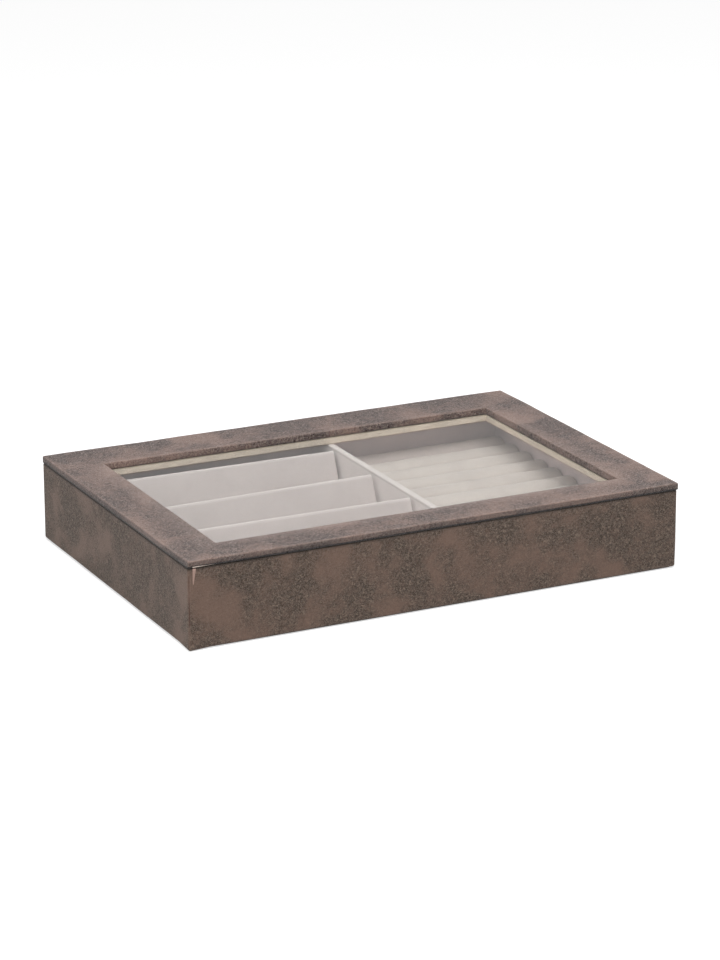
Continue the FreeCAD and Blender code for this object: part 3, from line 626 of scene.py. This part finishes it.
def openNotches(piece, level, thickness, towards):
    # room in the cloth for the hinge leaves, at the top of the case or the underside of the lid
    play = 0.2 * mm
    reach = 13 * mm
    cutLevel = level + thickness * towards
    for side in ("left", "right"):
        low, high = boxOf("hinge_case_leaf_" + side)
        left, right, front = low.x - play, high.x + play, low.y - play

        def near(co, normal):
            return left - reach < co.x < right + reach and co.y > front - reach

        def inNotch(co, normal):
            return left < co.x < right and co.y > front and (co.z - cutLevel) * towards < 0

        for point, direction in (((left, 0, 0), (1, 0, 0)), ((right, 0, 0), (1, 0, 0)),
                                 ((0, front, 0), (0, 1, 0)), ((0, 0, cutLevel), (0, 0, 1))):
            pickFaces(piece, near)
            bpy.ops.mesh.bisect(plane_co=point, plane_no=direction)
        pickFaces(piece, inNotch)
        bpy.ops.mesh.delete(type="FACE")


def wrapCase():
    look = caseWrapLook
    low, high = boxOf("case_wrap")
    thickness = wrapThickness()
    rimWidth = high.x - boxOf("right_wall")[0].x + thickness
    wrap = addBlock("caseWrapCloth", low, high)
    startEdit(wrap)
    pickFaces(wrap, lambda co, normal: normal.z > 0.5)
    bpy.ops.mesh.inset(thickness=rimWidth)
    extrudePicked((0, 0, -look["hemDepth"]))
    bpy.ops.mesh.delete(type="FACE")
    pickFaces(wrap, lambda co, normal: normal.z < -0.5)
    bpy.ops.mesh.inset(thickness=look["underHem"])
    bpy.ops.mesh.delete(type="FACE")

    def onInnerRim(co):
        across = abs(abs(co.x) - (high.x - rimWidth)) < closeTo and abs(co.y) < high.y
        along = abs(abs(co.y) - (high.y - rimWidth)) < closeTo and abs(co.x) < high.x
        return co.z > high.z - closeTo and (across or along)

    pickEdges(wrap, lambda co: sideGap(co, low, high) < closeTo)
    roundPicked(look["edgeRadius"], 5)
    pickEdges(wrap, onInnerRim)
    roundPicked(look["innerRimRadius"], 3)
    cutLoops(0, evenlyBetween(low.x, high.x, look["edgeLoop"], look["loopStep"]))
    cutLoops(1, evenlyBetween(low.y, high.y, look["edgeLoop"], look["loopStep"]))
    cutLoops(2, evenlyBetween(low.z, high.z, look["edgeLoop"], look["loopStep"]))
    openNotches(wrap, high.z, thickness, -1)
    endEdit()
    applyModifier(wrap, "SOLIDIFY", thickness=thickness, offset=-1)
    paintEdges(wrap, low, high, look["wearAndHighlightReach"], look["wearAndHighlight"])

    # painted shade along the top of the case, in the gap under the lid
    def rimShade(co):
        return look["rimShade"] * fade(co.z, high.z - look["rimShadeDepth"], high.z - look["rimShadeFull"])

    def looseness(co):
        # the cloth lies flat on the back, where the stop lugs of the hinges meet it
        return fade(co.y, high.y, high.y - look["flatBackReach"])

    def bunch(co):
        # spare cloth gathered under the front left corner
        gap = math.hypot(co.x - low.x, co.y - low.y)
        share = max(0.0, 1 - gap / look["bunchReach"]) * max(0.0, 1 - co.z / look["bunchHeight"])
        return co + Vector(look["bunchShift"]) * share

    paintShade(wrap, rimShade)
    wobble(wrap, look["wobble"], look["wobbleSize"], 1.0, looseness)

    moveVertices(wrap, bunch)
    smoothByAngle(wrap, 35)
    dress(wrap, suede, "case")
    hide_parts("case_wrap")


wrapCase()


# Seam and folded pleat at the front left corner

cornerLook = {
    "seamRadius": 0.25 * mm,
    "seamFromCorner": 0.6 * mm,
    "seamSunk": 0.33 * mm,
    "seamTop": 4 * mm,
    "seamFoot": 3 * mm,
    "seamLoopStep": 4 * mm,
    "seamWobble": 0.2 * mm,
    "seamWobbleSize": 9 * mm,
    "pleatFromCorner": 2.6 * mm,
    "pleatWidth": 2.0 * mm,
    "pleatFoot": 0.3 * mm,
    "pleatHeight": 11 * mm,
    "pleatRise": 0.45 * mm,
    "pleatSunk": 0.5 * mm,
    "pleatBelowRim": 0.6 * mm,
    "pleatEdgeRadius": 0.12 * mm,
    "pleatLoopStep": 2 * mm,
}


def cornerSeam():
    look = cornerLook
    low, high = boxOf("case_wrap")
    bottom, top = low.z + look["seamFoot"], high.z - look["seamTop"]
    clearSelection()
    bpy.ops.mesh.primitive_cylinder_add(
        vertices=16, radius=look["seamRadius"], depth=top - bottom,
        location=(low.x + look["seamFromCorner"], low.y + look["seamSunk"], (bottom + top) / 2))
    seam = bpy.context.object
    seam.name = "cornerSeam"
    bpy.ops.object.transform_apply(location=True, rotation=False, scale=False)
    startEdit(seam)
    cutLoops(2, evenly(bottom, top, look["seamLoopStep"]))
    endEdit()
    wobble(seam, look["seamWobble"], look["seamWobbleSize"], 7.0)
    smoothByAngle(seam, 50)
    # a thin dark rod: partly a dark joint, partly painted shadow of the seam's groove
    dress(seam, seamShadow, "case")


def cornerPleat():
    look = cornerLook
    low, high = boxOf("case_wrap")
    top = high.z - look["pleatBelowRim"]
    left = low.x + look["pleatFromCorner"]
    pleat = addBlock("cornerPleat", (left, low.y - look["pleatRise"], top - look["pleatHeight"]),
                     (left + look["pleatWidth"], low.y + look["pleatSunk"], top))
    startEdit(pleat)
    cutLoops(2, evenly(top - look["pleatHeight"], top, look["pleatLoopStep"]))
    endEdit()

    def narrow(co):
        # wide and raised below the rim, thin and nearly flat at the foot
        down = (top - co.z) / look["pleatHeight"]
        width = look["pleatWidth"] * (1 - down) + look["pleatFoot"] * down
        co.x = left + (co.x - left) / look["pleatWidth"] * width
        if co.y < low.y:
            co.y += look["pleatRise"] * (0.3 + 0.7 * down)
        return co

    moveVertices(pleat, narrow)
    startEdit(pleat)
    bpy.ops.mesh.select_mode(type="EDGE")
    bpy.ops.mesh.select_all(action="SELECT")
    roundPicked(look["pleatEdgeRadius"], 2)
    endEdit()
    smoothByAngle(pleat, 50)
    # the fold's pale colour is partly its raw edge, partly a painted highlight
    dress(pleat, paleFoldAndHighlight, "case")


cornerSeam()
cornerPleat()
print("stage 3: case wrapped")


# Suede wrap of the lid

lidWrapLook = {
    "edgeRadius": 0.75 * mm,
    "windowRimRadius": 0.5 * mm,
    "glassOverlap": 5 * mm,
    "underMargin": 6.4 * mm,
    "loopStep": 12 * mm,
    "edgeLoop": 2.2 * mm,
    "wobble": 0.2 * mm,
    "wobbleSize": 24 * mm,
    "wearAndHighlightReach": 1.5 * mm,
    "wearAndHighlight": 1.0,
    "outerDepth": 2 * mm,
    "sideShade": 0.34,
    "sideShadeTop": 0.2 * mm,
    "lowerShade": 1.0,
    "lowerShadeRise": 1.5 * mm,
    "lowerShadeFull": 0.9 * mm,
    "windowShade": 0.8,
    "windowLine": 0.9 * mm,
    "windowHighlight": 0.7,
    "windowHighlightDepth": 0.3 * mm,
    "windowHighlightReach": 0.7 * mm,
    "tightShare": 0.15,
    "tightReach": 12 * mm,
    "leftInset": 0.3 * mm,
    "insetReach": 7 * mm,
    "cornerLift": 0.3 * mm,
    "cornerLiftReach": 70 * mm,
    "cornerLiftDepth": 2 * mm,
    "cornerLiftHeight": 1 * mm,
}


def wrapLid():
    look = lidWrapLook
    low, high = boxOf("lid_wrap")
    thickness = wrapThickness()
    windowFoot = boxOf("lid_spacer_board")[0].z
    glassLow, glassHigh = boxOf("lid_glass")
    windowX = glassHigh.x - look["glassOverlap"]
    windowFront = glassLow.y + look["glassOverlap"]
    windowRear = glassHigh.y - look["glassOverlap"]
    border = high.x - windowX
    wrap = addBlock("lidWrapCloth", low, high)
    startEdit(wrap)
    pickFaces(wrap, lambda co, normal: normal.z > 0.5)
    bpy.ops.mesh.inset(thickness=border)
    extrudePicked((0, 0, windowFoot - high.z))
    bpy.ops.mesh.delete(type="FACE")
    pickFaces(wrap, lambda co, normal: normal.z < -0.5)
    bpy.ops.mesh.inset(thickness=look["underMargin"])
    bpy.ops.mesh.delete(type="FACE")
    endEdit()

    def widenWindow(co):
        # the border is wider behind the window than in front of it
        if abs(co.y - (low.y + border)) < closeTo:
            co.y = windowFront
        elif abs(co.y - (high.y - border)) < closeTo:
            co.y = windowRear
        return co

    moveVertices(wrap, widenWindow)
    startEdit(wrap)

    def outside(co):
        return sideGap(co, low, high) < closeTo

    def onWindowEdge(co):
        across = abs(abs(co.x) - windowX) < closeTo
        along = min(abs(co.y - windowFront), abs(co.y - windowRear)) < closeTo
        return co.z > high.z - closeTo and not outside(co) and (across or along)

    pickEdges(wrap, outside)
    roundPicked(look["edgeRadius"], 6)
    pickEdges(wrap, onWindowEdge)
    roundPicked(look["windowRimRadius"], 3)
    cutLoops(0, evenlyBetween(low.x, high.x, look["edgeLoop"], look["loopStep"]))
    cutLoops(1, evenlyBetween(low.y, high.y, look["edgeLoop"], look["loopStep"]))
    shadeFull, shadeStart = low.z + look["lowerShadeFull"], low.z + look["lowerShadeRise"]
    cutLoops(2, [windowFoot + look["windowLine"], shadeFull, shadeStart])
    openNotches(wrap, low.z, thickness, 1)
    endEdit()
    applyModifier(wrap, "SOLIDIFY", thickness=thickness, offset=-1)
    paintEdges(wrap, low, high, look["wearAndHighlightReach"], look["wearAndHighlight"])

    def lidShade(co):
        # painted shade: dark below the rounded edge on the front and sides, and at the foot of the window's
        # faces
        if min(co.x - low.x, high.x - co.x, co.y - low.y) > look["outerDepth"]:
            return look["windowShade"] * fade(co.z, windowFoot + look["windowLine"], windowFoot)
        side = look["sideShade"] * fade(co.z, high.z - look["sideShadeTop"], high.z - look["edgeRadius"])
        lower = look["lowerShade"] * fade(co.z, shadeStart, shadeFull)
        return max(side, lower)

    def beyondWindow(co):
        return max(abs(co.x) - windowX, windowFront - co.y, co.y - windowRear)

    def onWindowRim(co):
        return co.z > high.z - look["windowHighlightDepth"] and beyondWindow(co) < look["windowHighlightReach"]

    def looseness(co):
        # the cloth is pulled tight round the window
        return min(1.0, look["tightShare"] + max(0.0, beyondWindow(co)) / look["tightReach"])

    def settleLid(co):
        # the left side stands a little inside the case, and the front left corner gapes
        co.x += look["leftInset"] * fade(co.x, low.x + look["insetReach"], low.x)
        if co.y < low.y + look["cornerLiftDepth"] and co.z < low.z + look["cornerLiftHeight"]:
            co.z += look["cornerLift"] * fade(co.x, low.x + look["cornerLiftReach"], low.x)
        return co

    paintShade(wrap, lidShade)
    # painted highlight: a light line along the top of the window's rim
    wearWhere(wrap, onWindowRim, look["windowHighlight"])
    wobble(wrap, look["wobble"], look["wobbleSize"], 4.0, looseness)
    moveVertices(wrap, settleLid)
    smoothByAngle(wrap, 35)
    dress(wrap, lidSuede, "lid")
    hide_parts("lid_wrap")


wrapLid()


# Turned-in end of the lid's cloth

lipLook = {
    "length": 33 * mm,
    "startInset": 3 * mm,
    "rise": 0.5 * mm,
    "depth": 0.9 * mm,
    "height": 0.5 * mm,
    "edgeRadius": 0.15 * mm,
    "loopStep": 4 * mm,
    "drift": 0.5 * mm,
    "wave": 0.1 * mm,
}


def lidLip():
    # it shows low on the front edge, near the left corner
    look = lipLook
    low, high = boxOf("lid_wrap")
    left = low.x + look["startInset"]
    bottom = low.z + look["rise"]
    lip = addBlock("lidLip", (left, low.y, bottom),
                   (left + look["length"], low.y + look["depth"], bottom + look["height"]))
    startEdit(lip)
    cutLoops(0, evenly(left, left + look["length"], look["loopStep"]))
    bpy.ops.mesh.select_mode(type="EDGE")
    bpy.ops.mesh.select_all(action="SELECT")
    roundPicked(look["edgeRadius"], 2)
    endEdit()

    def taper(co):
        # thinner to the right, where it slips back under the lid
        along = (co.x - left) / look["length"]
        co.y += along * look["drift"]
        co.z = bottom + (co.z - bottom) * (1 - 0.5 * along) + look["wave"] * math.sin(along * 7)
        return co

    moveVertices(lip, taper)
    smoothByAngle(lip, 50)
    dress(lip, paleEdge, "lid")


lidLip()
print("stage 4: lid wrapped")


# Ring rolls

rollLook = {
    "sides": 40,
    "endRadius": 2.8 * mm,
    "endRings": (2.4 * mm, 2.2 * mm),
    "endReach": 4 * mm,
    "dimpleReach": 5 * mm,
    "dimpleDepth": 0.5 * mm,
    "footFlat": 0.16 * mm,
    "loopStep": 8 * mm,
    "wobble": 0.28 * mm,
    "wobbleSize": 14 * mm,
    "fill": 0.85,
}


def ringRoll(name, seed, material):
    look = rollLook
    low, high = boxOf(name)
    size = high - low
    middle = (low + high) / 2
    clearSelection()
    bpy.ops.mesh.primitive_cylinder_add(vertices=look["sides"], radius=0.5, depth=1, location=(0, 0, 0))
    roll = bpy.context.object
    roll.name = name + "_velvet"
    roll.data.name = roll.name
    shoulder = high.z - size.y / 2

    def endGap(co):
        return min(co.x - low.x, high.x - co.x)

    def lieDown(co):
        # along the length, half round above the shoulder and deeper below it
        depth = size.y if co.y > 0 else 2 * (shoulder - low.z)
        return Vector((co.z * size.x + middle.x, co.x * size.y + middle.y, co.y * depth + shoulder))

    moveVertices(roll, lieDown)
    startEdit(roll)
    bpy.ops.mesh.select_all(action="SELECT")
    bpy.ops.mesh.normals_make_consistent(inside=False)
    cutLoops(0, evenly(low.x, high.x, look["loopStep"]))
    pickEdges(roll, lambda co: endGap(co) < closeTo)
    roundPicked(look["endRadius"], 5)
    pickFaces(roll, lambda co, normal: abs(normal.x) > 0.99)
    for ringWidth in look["endRings"]:
        bpy.ops.mesh.inset(thickness=ringWidth)
    endEdit()
    shift = Vector((seed * 1.7, 0, seed * 0.9))

    def settle(co):
        # foam gives a little between the rolls, is gathered at the ends and sits flat on the floor card
        soft = noise.noise_vector(co / look["wobbleSize"] + shift) * look["wobble"]
        inside = fade(endGap(co), 0, look["endReach"])
        co = co + Vector((soft.x * 0.3, soft.y * 0.5, soft.z)) * inside
        fromMiddle = math.hypot(co.y - middle.y, co.z - middle.z)
        dimple = max(0.0, 1 - (fromMiddle / look["dimpleReach"]) ** 2)
        if inside < 0.2:
            co.x += look["dimpleDepth"] * dimple * (1 if co.x < middle.x else -1)
        co.z = max(co.z, low.z + look["footFlat"])
        return co

    moveVertices(roll, settle)
    smoothByAngle(roll, 60)
    dress(roll, material, "case")
    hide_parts(name)


rollNames = sorted(name for name in frame["nodes"] if name.startswith("ring_roll_"))
for rollSeed, rollName in enumerate(rollNames):
    # the last roll, below the lid's back border, has a velvet of its own: painted light, retoned for the
    # lid's shade there
    ringRoll(rollName, rollSeed, shadedVelvet if rollName == rollNames[-1] else creamVelvet)
print("stage 5:", len(rollNames), "ring rolls laid")


# Hinge screws with slotted heads

screwLook = {
    "headRadius": 1.5 * mm,
    "headDepth": 0.5 * mm,
    "headStep": 0.05 * mm,
    "shankRadius": 0.8 * mm,
    "slotWidth": 0.35 * mm,
    "slotDepth": 0.3 * mm,
    "fromMiddle": 6 * mm,
}


def slottedScrew(name, x, y, headLevel, length, upwards, angle):
    look = screwLook
    clearSelection()
    bpy.ops.mesh.primitive_cylinder_add(vertices=24, radius=look["headRadius"], depth=length,
                                        location=(0, 0, -length / 2))
    screw = bpy.context.object
    screw.name = name
    bpy.ops.object.transform_apply(location=True, rotation=False, scale=False)
    startEdit(screw)
    cutLoops(2, [-look["headDepth"], -look["headDepth"] - look["headStep"]])
    endEdit()
    ratio = look["shankRadius"] / look["headRadius"]

    def thin(co):
        if co.z < -look["headDepth"] + closeTo:
            co.x *= ratio
            co.y *= ratio
        return co

    moveVertices(screw, thin)
    half = look["headRadius"] * 1.2
    slot = look["slotWidth"] / 2
    cutAway(screw, (-half, -slot, -look["slotDepth"]), (half, slot, look["slotDepth"]))
    flip = -1 if upwards else 1

    def seat(co):
        # turned to its own angle, then set in place, head up or head down
        turned = Vector((co.x * math.cos(angle) - co.y * math.sin(angle),
                         co.x * math.sin(angle) + co.y * math.cos(angle), co.z))
        return Vector((turned.x + x, turned.y * flip + y, turned.z * flip + headLevel))

    moveVertices(screw, seat)
    smoothByAngle(screw, 40)
    return screw


def screwSet(node, body, headLevel, upwards):
    low, high = boxOf(node)
    y = (low.y + high.y) / 2
    length = high.z - low.z
    group = []
    for side in ("left", "right"):
        leafLow, leafHigh = boxOf("hinge_case_leaf_" + side)
        middle = (leafLow.x + leafHigh.x) / 2
        for step in (-1, 1):
            angle = random.Random(side + str(step) + node).uniform(0.2, 2.6)
            group.append(slottedScrew(node + "_slotted", middle + step * screwLook["fromMiddle"],
                                      y, headLevel, length, upwards, angle))
    clearSelection()
    for screw in group:
        screw.select_set(True)
    bpy.context.view_layer.objects.active = group[0]
    bpy.ops.object.join()
    screws = bpy.context.object
    screws.name = node + "_slotted"
    dress(screws, nickel, body)
    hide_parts(node)


screwSet("case_hinge_screws", "case", boxOf("case_hinge_screws")[1].z, False)
screwSet("lid_hinge_screws", "lid", boxOf("lid_hinge_screws")[0].z, True)
print("stage 6: hinge screws set")


# Floor, light and camera

studio = {
    "floorSize": 14,
    "floorPlace": (0, 3, -0.2 * mm),
    "floorColour": (0.62, 0.62, 0.62, 1),
    "floorGlow": 0.6,
    "worldStrength": 0.36,
    "keyPower": 16.8,
    "keySize": 1.15,
    "keyPlace": (-0.12, -0.58, 1.24),
    "fillStrength": 0.65,
    "fillSpread": 60,
    "fillFrom": (-0.65, -0.1, 0.75),
    "cameraPlace": (-0.8410, -1.6859, 0.6538),
    "cameraForward": (0.42573, 0.85091, -0.30776),
    "cameraLens": 128.53,
}


def addFloor():
    clearSelection()
    bpy.ops.mesh.primitive_plane_add(size=studio["floorSize"], location=studio["floorPlace"])
    floor = bpy.context.object
    floor.name = "studioFloor"
    material, tree, shader = newMaterial("studioFloor")
    shader.inputs["Base Color"].default_value = studio["floorColour"]
    shader.inputs["Roughness"].default_value = 0.8
    shader.inputs["Specular IOR Level"].default_value = 0.05
    # a lit table: white to the eye, but it throws back little light
    path = addNode(tree, "ShaderNodeLightPath", (-200, -300))
    shader.inputs["Emission Color"].default_value = (1, 1, 1, 1)
    glow = maths(tree, "MULTIPLY", (60, -300), path.outputs["Is Camera Ray"], studio["floorGlow"])
    tree.links.new(glow, shader.inputs["Emission Strength"])
    floor.data.materials.append(material)


def addSun(name, strength, spread, comesFrom):
    sun = bpy.data.lights.new(name, "SUN")
    sun.energy = strength
    sun.angle = math.radians(spread)
    lamp = bpy.data.objects.new(name, sun)
    bpy.context.scene.collection.objects.link(lamp)
    lamp.rotation_euler = Vector(comesFrom).to_track_quat("Z", "Y").to_euler()


def addSoftbox(name, power, size, place):
    light = bpy.data.lights.new(name, "AREA")
    light.energy = power
    light.size = size
    lamp = bpy.data.objects.new(name, light)
    bpy.context.scene.collection.objects.link(lamp)
    lamp.location = place
    lamp.rotation_euler = Vector(place).to_track_quat("Z", "Y").to_euler()


def lightStudio():
    scene = bpy.context.scene
    scene.view_settings.view_transform = "Standard"
    world = bpy.data.worlds.new("studioWorld")
    scene.world = world
    world.use_nodes = True
    background = world.node_tree.nodes["Background"]
    background.inputs["Color"].default_value = (1, 1, 1, 1)
    background.inputs["Strength"].default_value = studio["worldStrength"]
    addSoftbox("keySoftbox", studio["keyPower"], studio["keySize"], studio["keyPlace"])
    addSun("fillSun", studio["fillStrength"], studio["fillSpread"], studio["fillFrom"])


def addCamera():
    data = bpy.data.cameras.new("photoCamera")
    data.lens = studio["cameraLens"]
    data.sensor_width = 36
    data.clip_end = 50
    camera = bpy.data.objects.new("photoCamera", data)
    bpy.context.scene.collection.objects.link(camera)
    camera.location = studio["cameraPlace"]
    camera.rotation_euler = Vector(studio["cameraForward"]).to_track_quat("-Z", "Y").to_euler()
    bpy.context.scene.camera = camera


addFloor()
lightStudio()
addCamera()
clearSelection()
print("stage 7: floor, light and camera set")
